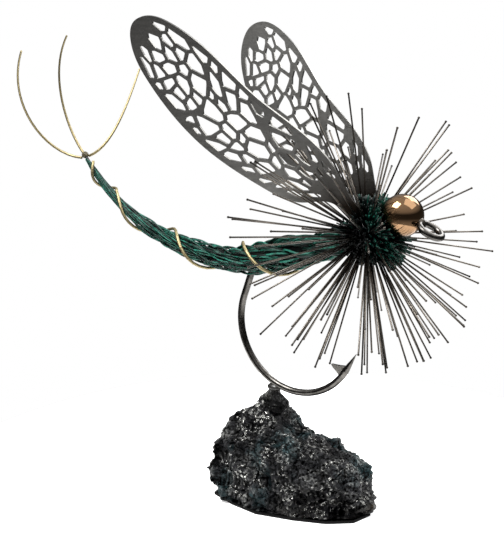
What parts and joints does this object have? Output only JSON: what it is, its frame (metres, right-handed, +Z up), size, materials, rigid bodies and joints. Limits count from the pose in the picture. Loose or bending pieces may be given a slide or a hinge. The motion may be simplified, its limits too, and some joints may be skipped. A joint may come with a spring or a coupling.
{
  "type": "dry fly sculpture",
  "caption": "Large mayfly dry fly in metal, tied on a barbed hook that stands by its bend on the spire of a dark mineral base.",
  "frame": {"origin": "middle of the flat underside of the felt-covered base", "axes": "+Z up, +X towards the fly's head and hook eye, +Y towards the fly's left wing"},
  "size_m": [0.2926, 0.1432, 0.2757],
  "materials": {
    "stone": "rough, glittering",
    "felt": "matt",
    "pin_steel": "ground",
    "glue": "clear, set hard",
    "hook_steel": "dark, polished",
    "braze": "as melted",
    "copper": "polished copper-bronze",
    "hub_steel": "dark",
    "green_bristle": "satin",
    "wing_steel": "brushed, grey",
    "green_strand": "satin",
    "brass_wire": "bright drawn",
    "binding_thread": "lacquered",
    "hackle_steel": "drawn wire"
  },
  "bodies": {
    "root": {"rock_base": "stone", "base_pad": "felt", "mounting_pin": "pin_steel", "spire_glue": "glue", "hook": "hook_steel", "hook_barb": "hook_steel", "eye_weld": "braze", "head_bead": "copper", "thorax_hub": "hub_steel", "thorax_bristles": "green_bristle", "wing_strap": "wing_steel", "wing_right": "wing_steel", "wing_left": "wing_steel", "abdomen_core": "hub_steel", "abdomen_strands": "green_strand", "rib_wire": "brass_wire", "tail_right": "brass_wire", "tail_middle": "brass_wire", "tail_left": "brass_wire", "tail_binding": "binding_thread", "hackle_ring_01": "hackle_steel", "hackle_ring_02": "hackle_steel", "hackle_ring_03": "hackle_steel", "hackle_ring_04": "hackle_steel", "hackle_ring_05": "hackle_steel", "hackle_ring_06": "hackle_steel", "hackle_ring_07": "hackle_steel", "hackle_ring_08": "hackle_steel", "hackle_ring_09": "hackle_steel", "hackle_ring_10": "hackle_steel"}
  },
  "joints": []
}
